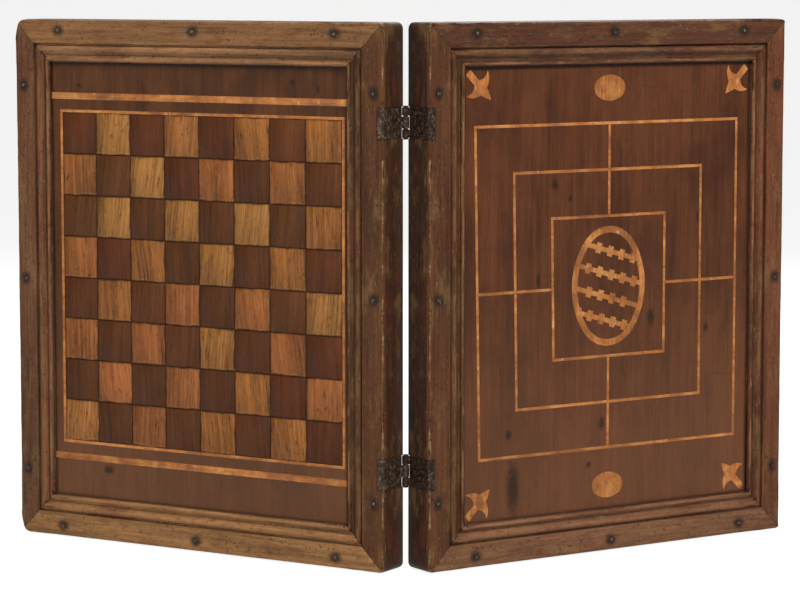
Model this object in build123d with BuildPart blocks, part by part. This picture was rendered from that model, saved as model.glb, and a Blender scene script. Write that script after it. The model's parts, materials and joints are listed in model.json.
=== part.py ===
from build123d import *
from math import cos, radians, sin
import os

os.makedirs("parts", exist_ok=True)

# A folding games box of walnut: two shallow trays joined by two iron butt hinges. The left tray's outer
# face is a chessboard, the right one's a nine men's morris, and inside is the backgammon board.
# The box stands on its short ends, opened like a book, with its spine towards -Y and +Z up.
# The origin is on the surface that it stands on, under the middle of the whole box.
# Each tray has its own measures: u runs across from its spine face, v runs up from the surface,
# and w runs out from its rim to its outer face. side is -1 for the chess tray, 1 for the morris tray.

# The box as a whole
HEIGHT = 480.0
WIDTH = 400.0
TRAY_DEPTH = 33.0
OPEN_ANGLE = 115.3
RIM_GAP = 0.3

# Tray walls and panels
WALL = 15.0
WALL_HOUSING = 5.0
CORNER_ROUND = 6.0
PANEL_THICK = 9.0
PANEL_REBATE = 3.5

# Planted bands
BAND_WIDTH = 22.0
BAND_THICK = 5.0
BAND_ARRIS = 2.5

# Planted mouldings: a quirk beside the band, a wide round, a valley and a bead at the panel
QUIRK_WIDTH = 1.2
QUIRK_HEIGHT = 2.6
ROUND_WIDTH = 7.4
ROUND_CREST = 5.2
VALLEY_WIDTH = 3.1
VALLEY_HEIGHT = 2.1
BEAD_WIDTH = 4.9
BEAD_CREST = 4.5
BEAD_FOOT = 2.7
LIP_WIDTH = 0.4

# Forged nails of the bands
NAIL_SHANK = 1.8
NAIL_LENGTH = 15.0
NAIL_HEAD = 5.0
NAIL_RISE = 0.8
NAIL_FACETS = 5
NAIL_INSET = 10.0
NAIL_END_SHORT = 50.0
NAIL_END_LONG = 61.0

# Inlay in general
INLAY_DEPTH = 2.5
INLAY_JOINT = 0.2
STRING = 2.6

# Chessboard
CHESS_MARGIN = 9.0
CHESS_END_MARGIN = 45.0
CHESS_SHIFT_U = -3.0
CHESS_SHIFT_V = 3.0
FILLET_WIDTH = 6.0
FILLET_GAP = 9.5
FILLET_TUCK = 3.0

# Nine men's morris
MORRIS_MARGIN = 14.0
MORRIS_SHIFT_U = -1.5
MORRIS_SHIFT_V = 1.5
MORRIS_INNER_SHARE = 0.432
MORRIS_LEAN = 0.017
OVAL_SIDE_GAP = 22.2
OVAL_END_GAP = 9.2
OVAL_RING = 6.0
RING_JOINTS = (90.0, 28.0, -42.0, -90.0, -143.0)
BAR_WIDTH = 4.3
BAR_SLOPE = 15.5
BAR_SPACING = 20.4
TOOTH_WIDTH = 6.0
TOOTH_RISE = 2.6
TOOTH_PITCH = 13.4
SMALL_OVAL_WIDTH = 34.5
SMALL_OVAL_HEIGHT = 23.5
SMALL_OVAL_INSET = 21.0
FLOWER_INSET = 17.0

# Backgammon points
POINT_BASE = 44.0
POINT_LENGTH = 185.0
POINT_INLAY = 2.0
POINTS_PER_ROW = 6

# Hinges
HINGE_INSET = 87.0
HINGE_HEIGHT = 27.0
HINGE_STANDOFF = 2.65
PIN_RADIUS = 2.0
PIN_CLEARANCE = 0.08
PIN_HEAD_RADIUS = 2.6
PIN_HEAD_RISE = 1.0
LEAF_THICK = 1.5
LEAF_LIP = 6.0
MIDDLE_KNUCKLE = 11.0
KNUCKLE_GAP = 0.25
KNUCKLE_ROOM = 0.4
LEAF_NAIL_SHANK = 1.6
LEAF_NAIL_HEAD = 4.4
LEAF_NAIL_RISE = 0.6
LEAF_NAIL_LENGTH = 9.0
LEAF_NAIL_STEP = 4.0

# Hooks on the front edge
HOOK_INSET = 96.0
HOOK_REACH = 13.0
HOOK_THICK = 1.8
HOOK_GAP = 0.3
HOOK_SHANK = 4.8
HOOK_EYE = 4.6
HOOK_JAW = 6.4
HOOK_TAIL = 9.0
HOOK_TAIL_WIDTH = 4.2
PIVOT_RADIUS = 1.25
PIVOT_CLEARANCE = 0.1
STUD_ROOM = 0.3
STUD_HEAD = 3.4
STUD_RISE = 1.6
STUD_DEPTH = 10.0
STUD_SHANK = 1.6

# What follows from them
TURN = radians((180.0 - OPEN_ANGLE) / 2)
BODY = TRAY_DEPTH - BAND_THICK
FLOOR = BODY - PANEL_THICK
MOULDING_WIDTH = QUIRK_WIDTH + ROUND_WIDTH + VALLEY_WIDTH + BEAD_WIDTH + LIP_WIDTH
FRAME_WIDTH = BAND_WIDTH + MOULDING_WIDTH
SIGHT_WIDTH = WIDTH - 2 * FRAME_WIDTH
SIGHT_HEIGHT = HEIGHT - 2 * FRAME_WIDTH
KNUCKLE_RADIUS = PIN_RADIUS + LEAF_THICK
LEAF_SINK = KNUCKLE_RADIUS - HINGE_STANDOFF
LEAF_PROUD = LEAF_THICK - LEAF_SINK
AXIS_W = -RIM_GAP / 2
FRONT_REACH = sin(TURN) * (WIDTH + HINGE_STANDOFF)
SPINE_REACH = cos(TURN) * TRAY_DEPTH - sin(TURN) * HINGE_STANDOFF
AXIS_Y = (SPINE_REACH - FRONT_REACH) / 2
HINGE_FEET = (HINGE_INSET - HINGE_HEIGHT / 2, HEIGHT - HINGE_INSET - HINGE_HEIGHT / 2)
SIDES = {"chess": -1, "morris": 1}


def across(side):
    """Unit vector from a tray's spine to its front edge."""
    return Vector(side * cos(TURN), sin(TURN), 0)


def outward(side):
    """Unit vector out of a tray's outer face."""
    return Vector(side * sin(TURN), -cos(TURN), 0)


def spot(side, u, v, w):
    """A tray's own measures as a point of the whole box."""
    return (
        Vector(0, AXIS_Y, v)
        + across(side) * (u + HINGE_STANDOFF)
        + outward(side) * (w - AXIS_W)
    )


def face_plane(side, w):
    """Plane parallel to the outer face: local X is side * u, local Y is v, normal outwards."""
    return Plane(origin=spot(side, 0, 0, w), x_dir=across(side) * side, z_dir=outward(side))


def level_plane(side, v):
    """Level plane: local X is -side * u, local Y is w, normal up."""
    return Plane(origin=spot(side, 0, v, 0), x_dir=across(side) * -side, z_dir=(0, 0, 1))


def spine_plane(side, u):
    """Plane parallel to the spine face, normal out of the spine: local X is side * w, local Y is v."""
    return Plane(origin=spot(side, u, 0, 0), x_dir=outward(side) * side, z_dir=across(side) * -1)


def front_plane(side, u):
    """Plane parallel to the front face, normal out of the front: local X is -side * w, local Y is v."""
    return Plane(origin=spot(side, u, 0, 0), x_dir=outward(side) * -side, z_dir=across(side))


def finish(piece, name):
    """Label a finished piece and write it out."""
    piece.part.label = name
    export_step(piece.part, f"parts/{name}.step")


# Outlines that both a piece and its bed are cut from


def block(side, u_low, u_high, v_low, v_high):
    """Rectangle between two values of u and two of v, on the tray's face."""
    with BuildSketch() as outline:
        with Locations((side * (u_low + u_high) / 2, (v_low + v_high) / 2)):
            Rectangle(u_high - u_low, v_high - v_low)
    return outline.sketch


def polygon(side, corners):
    """Face through corners given in u and v."""
    with BuildSketch() as outline:
        with BuildLine():
            Polyline(*[(side * u, v) for u, v in corners], close=True)
        make_face()
    return outline.sketch


EDGES = ("bottom", "front", "top", "spine")


def ring(inset):
    """Corners of the tray's outline moved in by inset, from the foot of the spine."""
    far, high = WIDTH - inset, HEIGHT - inset
    return [(inset, inset), (far, inset), (far, high), (inset, high)]


def mitred(side, edge, outer, inner):
    """One side of a picture frame whose four members are mitred."""
    start = EDGES.index(edge)
    end = (start + 1) % len(EDGES)
    near, deep = ring(outer), ring(inner)
    return polygon(side, [near[start], near[end], deep[end], deep[start]])


def rounded_outline():
    """The tray's outline in local X and Y of the chess tray or the morris tray, corners rounded."""
    with BuildSketch() as outline:
        RectangleRounded(WIDTH, HEIGHT, CORNER_ROUND)
    return outline.sketch


def band_nail_spots(side):
    """Where the nails stand, three in each band."""
    far, high = WIDTH - NAIL_INSET, HEIGHT - NAIL_INSET
    level = (NAIL_END_SHORT, WIDTH / 2, WIDTH - NAIL_END_SHORT)
    upright = (NAIL_END_LONG, HEIGHT / 2, HEIGHT - NAIL_END_LONG)
    spots = [(u, v) for u in level for v in (NAIL_INSET, high)]
    spots += [(u, v) for u in (NAIL_INSET, far) for v in upright]
    return [(side * u, v) for u, v in spots]


def leaf_nail_spots(side, foot):
    """Two nails in a hinge leaf, one each side of its middle height."""
    middle = foot + HINGE_HEIGHT / 2
    third = TRAY_DEPTH / 3
    return [(side * third, middle + LEAF_NAIL_STEP), (side * 2 * third, middle - LEAF_NAIL_STEP)]


def hook_heights():
    """Height of the two hooks' pivots."""
    return (HOOK_INSET, HEIGHT - HOOK_INSET)


def leaf_section(side):
    """Section of a hinge leaf: up the spine face, round the arris and onto the band."""
    inner = BAND_ARRIS - LEAF_SINK
    outer = BAND_ARRIS + LEAF_PROUD
    bend = TRAY_DEPTH - BAND_ARRIS
    slant = sin(radians(45))
    with BuildSketch() as section:
        with BuildLine():
            Polyline(
                (-side * LEAF_SINK, bend),
                (-side * LEAF_SINK, AXIS_W),
                (side * LEAF_PROUD, AXIS_W),
                (side * LEAF_PROUD, bend),
            )
            ThreePointArc(
                (side * LEAF_PROUD, bend),
                (-side * (BAND_ARRIS - outer * slant), bend + outer * slant),
                (-side * BAND_ARRIS, bend + outer),
            )
            Polyline(
                (-side * BAND_ARRIS, bend + outer),
                (-side * LEAF_LIP, bend + outer),
                (-side * LEAF_LIP, bend + inner),
                (-side * BAND_ARRIS, bend + inner),
            )
            ThreePointArc(
                (-side * BAND_ARRIS, bend + inner),
                (-side * (BAND_ARRIS - inner * slant), bend + inner * slant),
                (-side * LEAF_SINK, bend),
            )
        make_face()
    return section.sketch


def axis_circle(side, radius):
    """Circle about the hinge axis, on a level plane."""
    with BuildSketch() as circle:
        with Locations((side * HINGE_STANDOFF, AXIS_W)):
            Circle(radius)
    return circle.sketch


# The trays' walls and panels


def long_wall(side, edge):
    """Spine or front wall: full height, housed for the end walls and rebated for the panel."""
    spine = edge == "spine"
    face, inner = (0, WALL) if spine else (WIDTH, WIDTH - WALL)
    into = 1 if spine else -1
    bed, housing = inner - into * PANEL_REBATE, inner - into * WALL_HOUSING
    rebate_foot = WALL - PANEL_REBATE
    with BuildPart() as wall:
        with BuildSketch(face_plane(side, 0)):
            add(block(side, min(face, inner), max(face, inner), 0, HEIGHT))
        extrude(amount=BODY)
        outer_corners = [
            edge_line
            for edge_line in wall.edges().filter_by(Axis(spot(side, 0, 0, 0), outward(side)))
            if (edge_line.center() - spot(side, face, edge_line.center().Z, BODY / 2)).length < 1
        ]
        fillet(outer_corners, CORNER_ROUND)
        with BuildSketch(face_plane(side, FLOOR)):
            add(block(side, min(bed, inner), max(bed, inner), rebate_foot, HEIGHT - rebate_foot))
        extrude(amount=PANEL_THICK, mode=Mode.SUBTRACT)
        with BuildSketch(face_plane(side, 0)):
            add(block(side, min(housing, inner), max(housing, inner), 0, WALL))
            add(block(side, min(housing, inner), max(housing, inner), HEIGHT - WALL, HEIGHT))
        extrude(amount=BODY, mode=Mode.SUBTRACT)
        with BuildSketch(face_plane(side, TRAY_DEPTH)):
            with Locations(*band_nail_spots(side)):
                Rectangle(NAIL_SHANK, NAIL_SHANK)
        extrude(amount=-NAIL_LENGTH, mode=Mode.SUBTRACT)
        if spine:
            for foot in HINGE_FEET:
                with BuildSketch(level_plane(side, foot)):
                    add(leaf_section(side))
                extrude(amount=HINGE_HEIGHT, mode=Mode.SUBTRACT)
                with BuildSketch(level_plane(side, foot - KNUCKLE_ROOM)):
                    add(axis_circle(side, KNUCKLE_RADIUS + KNUCKLE_ROOM))
                extrude(amount=HINGE_HEIGHT + 2 * KNUCKLE_ROOM, mode=Mode.SUBTRACT)
                with BuildSketch(spine_plane(side, -LEAF_PROUD)):
                    with Locations(*leaf_nail_spots(side, foot)):
                        Rectangle(LEAF_NAIL_SHANK, LEAF_NAIL_SHANK)
                extrude(amount=-LEAF_NAIL_LENGTH, mode=Mode.SUBTRACT)
        else:
            with BuildSketch(front_plane(side, WIDTH)):
                with Locations(*[(-side * HOOK_REACH, v) for v in hook_heights()]):
                    Rectangle(STUD_SHANK, STUD_SHANK)
            extrude(amount=-STUD_DEPTH, mode=Mode.SUBTRACT)
    return wall


def end_wall(side, edge):
    """Top or bottom wall, let into the long walls at both ends and rebated for the panel."""
    end = WALL - WALL_HOUSING
    low, high = (0, WALL) if edge == "bottom" else (HEIGHT - WALL, HEIGHT)
    rebate_low = WALL - PANEL_REBATE if edge == "bottom" else HEIGHT - WALL
    with BuildPart() as wall:
        with BuildSketch(face_plane(side, 0)):
            add(block(side, end, WIDTH - end, low, high))
        extrude(amount=BODY)
        with BuildSketch(face_plane(side, FLOOR)):
            add(block(side, end, WIDTH - end, rebate_low, rebate_low + PANEL_REBATE))
        extrude(amount=PANEL_THICK, mode=Mode.SUBTRACT)
        with BuildSketch(face_plane(side, TRAY_DEPTH)):
            with Locations(*band_nail_spots(side)):
                Rectangle(NAIL_SHANK, NAIL_SHANK)
        extrude(amount=-NAIL_LENGTH, mode=Mode.SUBTRACT)
    return wall


def panel(side, beds):
    """Walnut panel with the beds of its inlays cut into both faces."""
    edge = WALL - PANEL_REBATE
    with BuildPart() as board:
        with BuildSketch(face_plane(side, FLOOR)):
            add(block(side, edge, WIDTH - edge, edge, HEIGHT - edge))
        extrude(amount=PANEL_THICK)
        with BuildSketch(face_plane(side, BODY)):
            for bed in beds:
                add(bed)
        extrude(amount=-INLAY_DEPTH, mode=Mode.SUBTRACT)
        with BuildSketch(face_plane(side, FLOOR)):
            add(points(side, "light"))
            add(points(side, "dark"))
        extrude(amount=POINT_INLAY, mode=Mode.SUBTRACT)
    return board


# The planted frame


def band(side, edge):
    """Flat mitred band: rounded where it meets the box's outside, holed for its nails."""
    with BuildPart() as strip:
        with BuildSketch(face_plane(side, BODY)):
            add(mitred(side, edge, 0, BAND_WIDTH))
        extrude(amount=BAND_THICK)
        face = strip.faces().sort_by(Axis(spot(side, 0, 0, 0), outward(side)))[-1]
        fillet(face.edges().sort_by(lambda line: outline_gap(side, line.position_at(0.5)))[0], BAND_ARRIS)
        with BuildSketch(face_plane(side, BODY)):
            with Locations((side * WIDTH / 2, HEIGHT / 2)):
                add(rounded_outline())
        extrude(amount=BAND_THICK, mode=Mode.INTERSECT)
        with BuildSketch(face_plane(side, TRAY_DEPTH)):
            with Locations(*band_nail_spots(side)):
                Rectangle(NAIL_SHANK, NAIL_SHANK)
        extrude(amount=-BAND_THICK, mode=Mode.SUBTRACT)
        if edge == "spine":
            for foot in HINGE_FEET:
                with BuildSketch(level_plane(side, foot)):
                    add(leaf_section(side))
                extrude(amount=HINGE_HEIGHT, mode=Mode.SUBTRACT)
    return strip


def outline_gap(side, point):
    """How far a point of the box lies inside its tray's outline."""
    u = (point - spot(side, 0, 0, 0)).dot(across(side))
    return min(u, WIDTH - u, point.Z, HEIGHT - point.Z)


def moulding_section():
    """Section of the moulding: local X runs in from the tray's outline, local Y out from the panel."""
    quirk = BAND_WIDTH + QUIRK_WIDTH
    valley = quirk + ROUND_WIDTH
    bead = valley + VALLEY_WIDTH
    lip = bead + BEAD_WIDTH
    with BuildSketch() as section:
        with BuildLine():
            Polyline((lip, BEAD_FOOT), (FRAME_WIDTH, BEAD_FOOT), (FRAME_WIDTH, 0), (BAND_WIDTH, 0),
                     (BAND_WIDTH, QUIRK_HEIGHT), (quirk, QUIRK_HEIGHT))
            ThreePointArc((quirk, QUIRK_HEIGHT), (quirk + ROUND_WIDTH / 2, ROUND_CREST),
                          (valley, BEAD_FOOT))
            ThreePointArc((valley, BEAD_FOOT), (valley + VALLEY_WIDTH / 2, VALLEY_HEIGHT),
                          (bead, BEAD_FOOT))
            ThreePointArc((bead, BEAD_FOOT), (bead + BEAD_WIDTH / 2, BEAD_CREST), (lip, BEAD_FOOT))
        make_face()
    return section.sketch


def moulding(side, edge):
    """Moulded strip, run along its edge and mitred at both ends."""
    inward = {"bottom": Vector(0, 0, 1), "top": Vector(0, 0, -1),
              "spine": across(side), "front": across(side) * -1}[edge]
    corner = spot(side, WIDTH if edge == "front" else 0, HEIGHT if edge == "top" else 0, BODY)
    with BuildPart() as strip:
        with BuildSketch(Plane(origin=corner, x_dir=inward, z_dir=inward.cross(outward(side)))):
            add(moulding_section())
        extrude(amount=max(WIDTH, HEIGHT), both=True)
        with BuildSketch(face_plane(side, BODY)):
            add(mitred(side, edge, BAND_WIDTH, FRAME_WIDTH))
        extrude(amount=2 * BAND_THICK, mode=Mode.INTERSECT)
    return strip


def band_nails(side):
    """Forged nails: square shanks with low faceted heads."""
    with BuildPart() as nails:
        with BuildSketch(face_plane(side, TRAY_DEPTH)):
            with Locations(*band_nail_spots(side)):
                Rectangle(NAIL_SHANK, NAIL_SHANK)
        extrude(amount=-NAIL_LENGTH)
        with BuildSketch(face_plane(side, TRAY_DEPTH)):
            with Locations(*band_nail_spots(side)):
                RegularPolygon(NAIL_HEAD / 2, NAIL_FACETS)
        extrude(amount=NAIL_RISE, taper=40)
    return nails


# Inlay


def inlay(side, outline, face=BODY, depth=-INLAY_DEPTH):
    """Pieces let into a panel, flush with its face."""
    with BuildPart() as pieces:
        with BuildSketch(face_plane(side, face)):
            add(outline)
        extrude(amount=depth)
    return pieces


CHESS_SIDE = min(SIGHT_WIDTH - 2 * CHESS_MARGIN, SIGHT_HEIGHT - 2 * CHESS_END_MARGIN)
CHESS_SQUARE = CHESS_SIDE / 8
CHESS_U = WIDTH / 2 + CHESS_SHIFT_U
CHESS_V = HEIGHT / 2 + CHESS_SHIFT_V


def chess_squares(side, shade):
    """32 squares of one shade, as two grids of 16 that interleave."""
    half = CHESS_SQUARE / 2
    skew = half if shade == "light" else -half
    with BuildSketch() as squares:
        with Locations((side * CHESS_U - half, CHESS_V - skew), (side * CHESS_U + half, CHESS_V + skew)):
            with GridLocations(2 * CHESS_SQUARE, 2 * CHESS_SQUARE, 4, 4):
                Rectangle(CHESS_SQUARE - INLAY_JOINT, CHESS_SQUARE - INLAY_JOINT)
    return squares.sketch


def chess_bed(side):
    """Bed of the squares and their border strings."""
    reach = CHESS_SIDE / 2 + STRING
    return block(side, CHESS_U - reach, CHESS_U + reach, CHESS_V - reach, CHESS_V + reach)


def chess_border(side):
    """Four border strings, butted at the corners."""
    inner, outer = CHESS_SIDE / 2, CHESS_SIDE / 2 + STRING
    with BuildSketch() as border:
        for way in (-1, 1):
            middle = way * (inner + outer) / 2
            with Locations((side * CHESS_U, CHESS_V + middle)):
                Rectangle(2 * outer, STRING)
            with Locations((side * CHESS_U + middle, CHESS_V)):
                Rectangle(STRING, 2 * (inner - INLAY_JOINT))
    return border.sketch


def chess_fillets(side):
    """Wide fillets above and below the board, from moulding to moulding."""
    reach = CHESS_SIDE / 2 + STRING + FILLET_GAP + FILLET_WIDTH / 2
    length = SIGHT_WIDTH + 2 * FILLET_TUCK
    with BuildSketch() as fillets:
        with Locations((side * WIDTH / 2, CHESS_V - reach), (side * WIDTH / 2, CHESS_V + reach)):
            Rectangle(length, FILLET_WIDTH)
    return fillets.sketch


MORRIS_SIDE = min(SIGHT_WIDTH - 2 * MORRIS_MARGIN, SIGHT_HEIGHT - 2 * MORRIS_MARGIN)
MORRIS_INNER = MORRIS_SIDE * MORRIS_INNER_SHARE
MORRIS_MIDDLE = (MORRIS_SIDE + MORRIS_INNER) / 2
MORRIS_U = WIDTH / 2 + MORRIS_SHIFT_U
MORRIS_V = HEIGHT / 2 + MORRIS_SHIFT_V
OVAL_WIDTH = MORRIS_INNER - 2 * OVAL_SIDE_GAP
OVAL_HEIGHT = MORRIS_INNER - 2 * OVAL_END_GAP


def morris_square(side, length, joint):
    """Four strings of one square, whose upright beside the spine leans in towards its foot."""
    half, thin = length / 2, STRING / 2
    low, high = MORRIS_V - half, MORRIS_V + half
    near, far = MORRIS_U - half, MORRIS_U + half
    foot = near + MORRIS_LEAN * length
    upright = [(near - thin, high), (near + thin, high), (foot + thin, low), (foot - thin, low)]
    with BuildSketch() as strings:
        add(block(side, near - thin, far + thin, high - thin, high + thin))
        add(block(side, foot - thin, far + thin, low - thin, low + thin))
        add(block(side, far - thin, far + thin, low, high))
        add(polygon(side, upright))
        if joint:
            for v in (low + thin, high - thin - joint):
                add(block(side, near - STRING, far + STRING, v, v + joint), mode=Mode.SUBTRACT)
        if joint and length == MORRIS_MIDDLE:
            add(morris_cross(side, joint, STRING + 2 * joint), mode=Mode.SUBTRACT)
    return strings.sketch


def morris_cross(side, joint, width=STRING):
    """Four strings that cross from the outer square to the inner one."""
    outer, inner = MORRIS_SIDE / 2, MORRIS_INNER / 2
    length = outer - inner - STRING - 2 * joint
    middle = (outer + inner) / 2
    lean = MORRIS_LEAN * (outer + inner) / 2
    with BuildSketch() as strings:
        with Locations((side * MORRIS_U, MORRIS_V - middle), (side * MORRIS_U, MORRIS_V + middle)):
            Rectangle(width, length)
        with Locations((side * (MORRIS_U + middle), MORRIS_V)):
            Rectangle(length, width)
        with Locations((side * (MORRIS_U - middle + lean), MORRIS_V)):
            Rectangle(length - MORRIS_LEAN * (outer - inner), width)
    return strings.sketch


def oval(width, height, inset=0.0):
    """Tall oval of four arcs, as compasses draw it, or the oval that lies inside it by inset."""
    half, tall = width / 2, height / 2
    slant = (half * half + tall * tall) ** 0.5
    end_radius = slant * (slant - tall + half) / height
    rise, span = tall - end_radius, half - end_radius
    centre = (rise * rise - span * span) / (2 * span)
    side_radius = half + centre - inset
    reach = (centre * centre + rise * rise) ** 0.5
    x = centre * side_radius / reach - centre
    y = rise * side_radius / reach
    with BuildSketch() as outline:
        with BuildLine():
            ThreePointArc((x, -y), (half - inset, 0), (x, y))
            ThreePointArc((x, y), (0, tall - inset), (-x, y))
            ThreePointArc((-x, y), (inset - half, 0), (-x, -y))
            ThreePointArc((-x, -y), (0, inset - tall), (x, -y))
        make_face()
    return outline.sketch


def oval_ring(side, joint):
    """Oval ring, sawn into segments."""
    reach = OVAL_HEIGHT
    with BuildSketch() as hoop:
        add(oval(OVAL_WIDTH, OVAL_HEIGHT))
        add(oval(OVAL_WIDTH, OVAL_HEIGHT, OVAL_RING), mode=Mode.SUBTRACT)
        if joint:
            for angle in RING_JOINTS:
                with Locations(Location((0, 0, 0), (0, 0, angle))):
                    Rectangle(reach, joint, align=(Align.MIN, Align.CENTER), mode=Mode.SUBTRACT)
    return placed(hoop.sketch, side * MORRIS_U, MORRIS_V)


def oval_bars(side, joint):
    """Four sloping bars with teeth on both edges, cut to the ring; the teeth of neighbours alternate."""
    tall = OVAL_HEIGHT - 2 * OVAL_RING
    spacing = min(BAR_SPACING, tall / 4.7)
    with BuildSketch() as bars:
        for row in range(4):
            rise = (1.5 - row) * spacing
            chord = (OVAL_WIDTH - 2 * OVAL_RING) * (1 - (2 * rise / tall) ** 2) ** 0.5
            teeth = min(4 + row % 2, int((chord + TOOTH_WIDTH) / TOOTH_PITCH) + 1)
            with Locations(Location((0, 0, 0), (0, 0, -BAR_SLOPE))):
                with Locations((0, rise)):
                    Rectangle(OVAL_WIDTH * 2, BAR_WIDTH)
                    with GridLocations(TOOTH_PITCH, 1, teeth, 1):
                        Rectangle(TOOTH_WIDTH, BAR_WIDTH + 2 * TOOTH_RISE)
        add(oval(OVAL_WIDTH, OVAL_HEIGHT, OVAL_RING + joint), mode=Mode.INTERSECT)
    return placed(bars.sketch, side * MORRIS_U, MORRIS_V)


def placed(outline, x, y, angle=0.0):
    """An outline moved to a place on the face and turned about it."""
    with BuildSketch() as moved:
        with Locations(Location((x, y, 0), (0, 0, angle))):
            add(outline)
    return moved.sketch


def flower():
    """Three-petalled flower on a square-ended stem that points along -Y."""
    stem, foot, neck = 3.3, -17.5, -4.4
    tip, side_tip, notch = (0, 17.0), (16.0, -4.0), (4.9, 6.2)
    with BuildSketch() as bloom:
        with BuildLine():
            for way in (-1, 1):
                Line((0, foot), (way * stem, foot))
                Line((way * stem, foot), (way * stem, neck))
                ThreePointArc((way * stem, neck), (way * 8.6, -2.0), (way * side_tip[0], side_tip[1]))
                ThreePointArc((way * side_tip[0], side_tip[1]), (way * 11.4, 3.0),
                              (way * notch[0], notch[1]))
                ThreePointArc((way * notch[0], notch[1]), (way * 3.1, 11.0), tip)
        make_face()
    return bloom.sketch


def corner_flowers(side):
    """A flower in each corner of the panel, stems to the corners."""
    near, far = FRAME_WIDTH + FLOWER_INSET, WIDTH - FRAME_WIDTH - FLOWER_INSET
    low, high = near, HEIGHT - near
    with BuildSketch() as flowers:
        for u, v, angle in ((near, low, -45), (far, low, 45), (far, high, 135), (near, high, 225)):
            add(placed(flower(), side * u, v, side * angle))
    return flowers.sketch


def small_ovals(side):
    """One small oval above the squares and one below."""
    inset = FRAME_WIDTH + SMALL_OVAL_INSET
    with BuildSketch() as ovals:
        for v in (inset, HEIGHT - inset):
            add(placed(oval(SMALL_OVAL_HEIGHT, SMALL_OVAL_WIDTH), side * MORRIS_U, v, 90.0))
    return ovals.sketch


def points(side, shade):
    """Six backgammon points of one shade, three along each end wall, facing the other shade."""
    room = WIDTH - 2 * WALL
    pitch = room / POINTS_PER_ROW
    base = min(POINT_BASE, pitch - 1)
    length = min(POINT_LENGTH, HEIGHT / 2 - WALL - 5)
    first = 0 if shade == "light" else 1
    with BuildSketch() as row:
        for index in range(POINTS_PER_ROW):
            middle = WALL + pitch * (index + 0.5)
            low = index % 2 == first
            wall, tip = (WALL, WALL + length) if low else (HEIGHT - WALL, HEIGHT - WALL - length)
            add(polygon(side, [(middle - base / 2, wall), (middle + base / 2, wall), (middle, tip)]))
    return row.sketch


# Hinges


def knuckle_spans(side, foot):
    """Heights that a leaf's own knuckles take, as pairs of foot and length."""
    outer = (HINGE_HEIGHT - MIDDLE_KNUCKLE) / 2
    if side == SIDES["chess"]:
        return [(foot + outer, MIDDLE_KNUCKLE)]
    return [(foot, outer - KNUCKLE_GAP), (foot + outer + MIDDLE_KNUCKLE + KNUCKLE_GAP, outer - KNUCKLE_GAP)]


def hinge_leaf(side, foot):
    """Forged leaf let into the spine, its end turned over the arris and its knuckles round the pin."""
    bore = PIN_RADIUS if side == SIDES["chess"] else PIN_RADIUS + PIN_CLEARANCE
    with BuildPart() as leaf:
        with BuildSketch(level_plane(side, foot)):
            add(leaf_section(side))
        extrude(amount=HINGE_HEIGHT)
        with BuildSketch(level_plane(side, foot)):
            add(axis_circle(side, KNUCKLE_RADIUS + KNUCKLE_ROOM))
        extrude(amount=HINGE_HEIGHT, mode=Mode.SUBTRACT)
        for start, length in knuckle_spans(side, foot):
            with BuildSketch(level_plane(side, start)):
                add(axis_circle(side, KNUCKLE_RADIUS))
                add(knuckle_root(side))
            extrude(amount=length)
        with BuildSketch(level_plane(side, foot)):
            add(axis_circle(side, bore))
        extrude(amount=HINGE_HEIGHT, mode=Mode.SUBTRACT)
        with BuildSketch(spine_plane(side, -LEAF_PROUD)):
            with Locations(*leaf_nail_spots(side, foot)):
                Rectangle(LEAF_NAIL_SHANK, LEAF_NAIL_SHANK)
        extrude(amount=-LEAF_THICK, mode=Mode.SUBTRACT)
    return leaf


def knuckle_root(side):
    """The stretch of strap that leaves the knuckle along the spine face."""
    middle = (LEAF_PROUD - LEAF_SINK) / 2
    with BuildSketch() as root:
        with Locations((side * middle, AXIS_W)):
            Rectangle(LEAF_THICK, KNUCKLE_RADIUS + 2 * KNUCKLE_ROOM, align=(Align.CENTER, Align.MIN))
    return root.sketch


def leaf_nails(side):
    """Nails of both leaves of a tray."""
    with BuildPart() as nails:
        for foot in HINGE_FEET:
            with BuildSketch(spine_plane(side, -LEAF_PROUD)):
                with Locations(*leaf_nail_spots(side, foot)):
                    Rectangle(LEAF_NAIL_SHANK, LEAF_NAIL_SHANK)
            extrude(amount=-LEAF_NAIL_LENGTH)
            with BuildSketch(spine_plane(side, -LEAF_PROUD)):
                with Locations(*leaf_nail_spots(side, foot)):
                    RegularPolygon(LEAF_NAIL_HEAD / 2, NAIL_FACETS)
            extrude(amount=LEAF_NAIL_RISE, taper=45)
    return nails


def hinge_pin(foot):
    """Pin peened over at both ends."""
    with BuildPart() as pin:
        with BuildSketch(level_plane(-1, foot - KNUCKLE_GAP)):
            add(axis_circle(-1, PIN_RADIUS))
        extrude(amount=HINGE_HEIGHT + 2 * KNUCKLE_GAP)
        with BuildSketch(level_plane(-1, foot + HINGE_HEIGHT + KNUCKLE_GAP)):
            with Locations((-HINGE_STANDOFF, AXIS_W)):
                RegularPolygon(PIN_HEAD_RADIUS, 8)
        extrude(amount=PIN_HEAD_RISE)
        with BuildSketch(level_plane(-1, foot - KNUCKLE_GAP)):
            with Locations((-HINGE_STANDOFF, AXIS_W)):
                RegularPolygon(PIN_HEAD_RADIUS, 8)
        extrude(amount=-PIN_HEAD_RISE)
        ends = pin.faces().sort_by(Axis.Z)
        chamfer(ends[0].edges() + ends[-1].edges(), 0.7 * PIN_HEAD_RISE)
    return pin


# Hooks

HOOK_LENGTH = 2 * HOOK_REACH + RIM_GAP


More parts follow.
